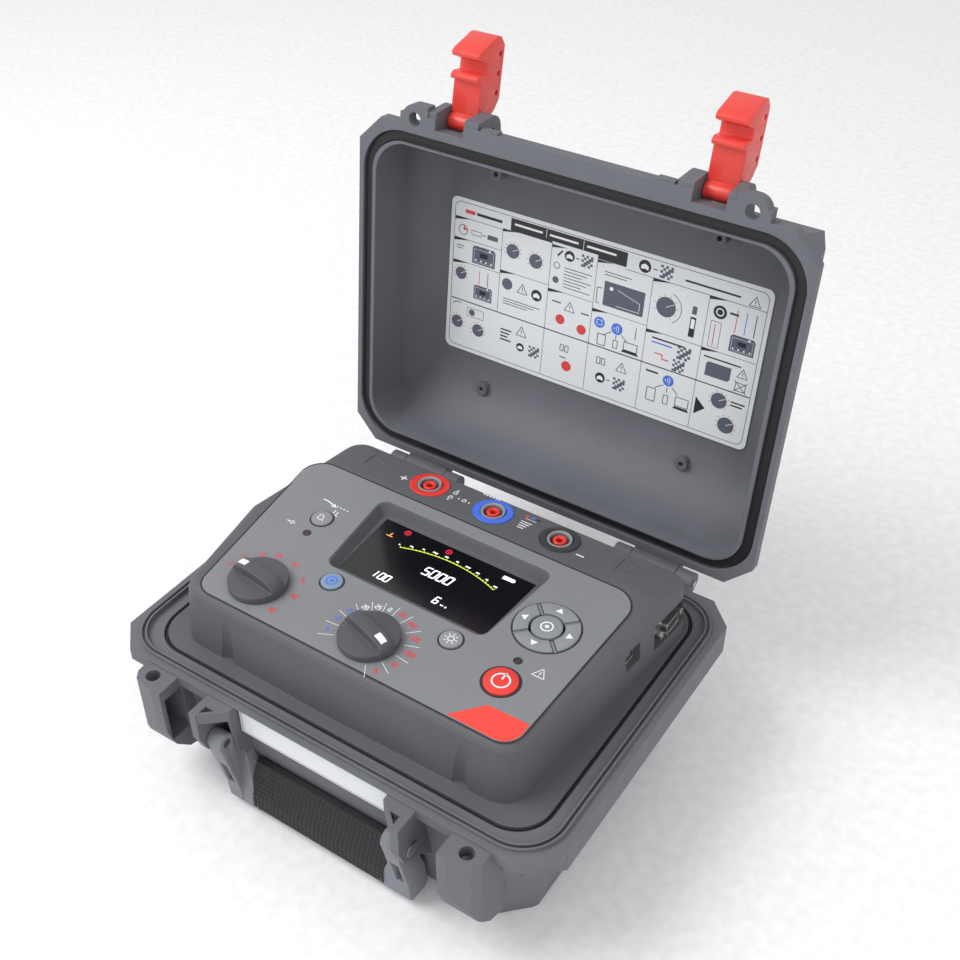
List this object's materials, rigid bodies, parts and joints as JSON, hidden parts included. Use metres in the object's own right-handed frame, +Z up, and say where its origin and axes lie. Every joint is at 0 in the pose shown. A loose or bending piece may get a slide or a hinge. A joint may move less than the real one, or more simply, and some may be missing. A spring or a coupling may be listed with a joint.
{
  "type": "insulation resistance tester",
  "caption": "Portable insulation tester in a hinged hard case: control panel with display, rotary knobs, buttons and test sockets, lid with latches, and a folding carrying handle.",
  "frame": {"origin": "on the ground under the middle of the case, at the centre of the underside", "axes": "+X to the right of the panel, +Y towards the lid hinge, +Z up out of the panel"},
  "size_m": [0.316, 0.3511, 0.3935],
  "materials": {
    "case_plastic": "moulded texture",
    "lid_plastic": "moulded texture",
    "panel_plastic": "fine texture",
    "gasket_rubber": "matt",
    "label_film": "satin print",
    "front_film": "satin print",
    "faceplate_film": "matt print",
    "latch_red": "satin",
    "handle_plastic": "moulded texture",
    "grip_rubber": "ribbed",
    "pin_steel": "satin",
    "knob_plastic": "satin",
    "pointer_white": "satin",
    "window_glass": "gloss",
    "button_grey": "matt",
    "button_blue_grey": "matt",
    "button_red": "satin",
    "led_plastic": "gloss",
    "socket_plastic": "satin",
    "red_plastic": "satin",
    "blue_plastic": "satin",
    "black_plastic": "satin",
    "brass_parts": "bright",
    "connector_metal": "bright tin",
    "board_green": "solder mask",
    "switch_body": "satin",
    "module_can": "satin",
    "ferrite": "matt",
    "copper_winding": "enamelled",
    "battery_wrap": "shrink sleeve",
    "cover_plastic": "moulded texture"
  },
  "bodies": {
    "case": {"base_shell": "case_plastic", "hinge_pins": "pin_steel", "handle_pins": "pin_steel", "front_label": "front_film", "instrument_panel": "panel_plastic", "faceplate": "faceplate_film", "display_window": "window_glass", "display_module": "board_green", "rotary_switches": "switch_body", "button_board": "board_green", "status_leds": "led_plastic", "terminal_sockets": "socket_plastic", "terminal_cores": "red_plastic", "positive_ring": "red_plastic", "guard_ring": "blue_plastic", "negative_ring": "black_plastic", "terminal_studs": "brass_parts", "serial_shell": "connector_metal", "serial_insert": "black_plastic", "jackscrews": "connector_metal", "usb_port": "connector_metal", "mains_inlet": "black_plastic", "inlet_pins": "connector_metal", "main_board": "board_green", "high_voltage_module": "module_can", "transformer_core": "ferrite", "transformer_winding": "copper_winding", "battery_pack": "battery_wrap", "battery_cover": "cover_plastic", "cover_screws": "pin_steel", "case_screws": "pin_steel"},
    "lid": {"lid_shell": "lid_plastic", "lid_gasket": "gasket_rubber", "guide_label": "label_film", "latch_pins": "pin_steel"},
    "left_latch": {"left_latch": "latch_red"},
    "right_latch": {"right_latch": "latch_red"},
    "handle": {"handle_frame": "handle_plastic", "handle_grip": "grip_rubber"},
    "function_knob": {"function_knob": "knob_plastic", "function_pointer": "pointer_white", "function_shaft": "pin_steel"},
    "range_knob": {"range_knob": "knob_plastic", "range_pointer": "pointer_white", "range_shaft": "pin_steel"},
    "lock_button": {"lock_button": "button_grey"},
    "blue_button": {"blue_button": "button_blue_grey"},
    "backlight_button": {"backlight_button": "button_grey"},
    "test_button": {"test_button": "button_red"},
    "nav_up": {"nav_up": "button_grey"},
    "nav_down": {"nav_down": "button_grey"},
    "nav_left": {"nav_left": "button_grey"},
    "nav_right": {"nav_right": "button_grey"},
    "ok_button": {"ok_button": "button_grey"}
  },
  "joints": [
    {"name": "lid_hinge", "type": "hinge", "parent": "case", "child": "lid", "pos_m": [0, 0.1296, 0.0935], "axis": [-1, 0, 0], "range_deg": [-96.3, 0]},
    {"name": "left_latch_hinge", "type": "hinge", "parent": "lid", "child": "left_latch", "pos_m": [-0.0885, 0.17761, 0.34334], "axis": [-1, 0, 0], "range_deg": [-95, 0]},
    {"name": "right_latch_hinge", "type": "hinge", "parent": "lid", "child": "right_latch", "pos_m": [0.0885, 0.17761, 0.34334], "axis": [-1, 0, 0], "range_deg": [-95, 0]},
    {"name": "handle_hinge", "type": "hinge", "parent": "case", "child": "handle", "pos_m": [0, -0.124, 0.067], "axis": [-1, 0, 0], "range_deg": [0, 100]},
    {"name": "function_turn", "type": "hinge", "parent": "case", "child": "function_knob", "pos_m": [-0.08, -0.061, 0.138], "axis": [0, 0, 1], "range_deg": [-204, 27]},
    {"name": "range_turn", "type": "hinge", "parent": "case", "child": "range_knob", "pos_m": [0.0045, -0.0615, 0.138], "axis": [0, 0, 1], "range_deg": [-27, 214]},
    {"name": "lock_button_press", "type": "slide", "parent": "case", "child": "lock_button", "axis": [0, 0, -1], "range_m": [0, 0.0008], "stiffness_N_per_m": 600, "springref_m": -0.0008},
    {"name": "blue_button_press", "type": "slide", "parent": "case", "child": "blue_button", "axis": [0, 0, -1], "range_m": [0, 0.0008], "stiffness_N_per_m": 600, "springref_m": -0.0008},
    {"name": "backlight_button_press", "type": "slide", "parent": "case", "child": "backlight_button", "axis": [0, 0, -1], "range_m": [0, 0.0008], "stiffness_N_per_m": 600, "springref_m": -0.0008},
    {"name": "test_button_press", "type": "slide", "parent": "case", "child": "test_button", "axis": [0, 0, -1], "range_m": [0, 0.0008], "stiffness_N_per_m": 600, "springref_m": -0.0008},
    {"name": "nav_up_press", "type": "slide", "parent": "case", "child": "nav_up", "axis": [0, 0, -1], "range_m": [0, 0.0008], "stiffness_N_per_m": 600, "springref_m": -0.0008},
    {"name": "nav_down_press", "type": "slide", "parent": "case", "child": "nav_down", "axis": [0, 0, -1], "range_m": [0, 0.0008], "stiffness_N_per_m": 600, "springref_m": -0.0008},
    {"name": "nav_left_press", "type": "slide", "parent": "case", "child": "nav_left", "axis": [0, 0, -1], "range_m": [0, 0.0008], "stiffness_N_per_m": 600, "springref_m": -0.0008},
    {"name": "nav_right_press", "type": "slide", "parent": "case", "child": "nav_right", "axis": [0, 0, -1], "range_m": [0, 0.0008], "stiffness_N_per_m": 600, "springref_m": -0.0008},
    {"name": "ok_button_press", "type": "slide", "parent": "case", "child": "ok_button", "axis": [0, 0, -1], "range_m": [0, 0.0008], "stiffness_N_per_m": 600, "springref_m": -0.0008}
  ]
}
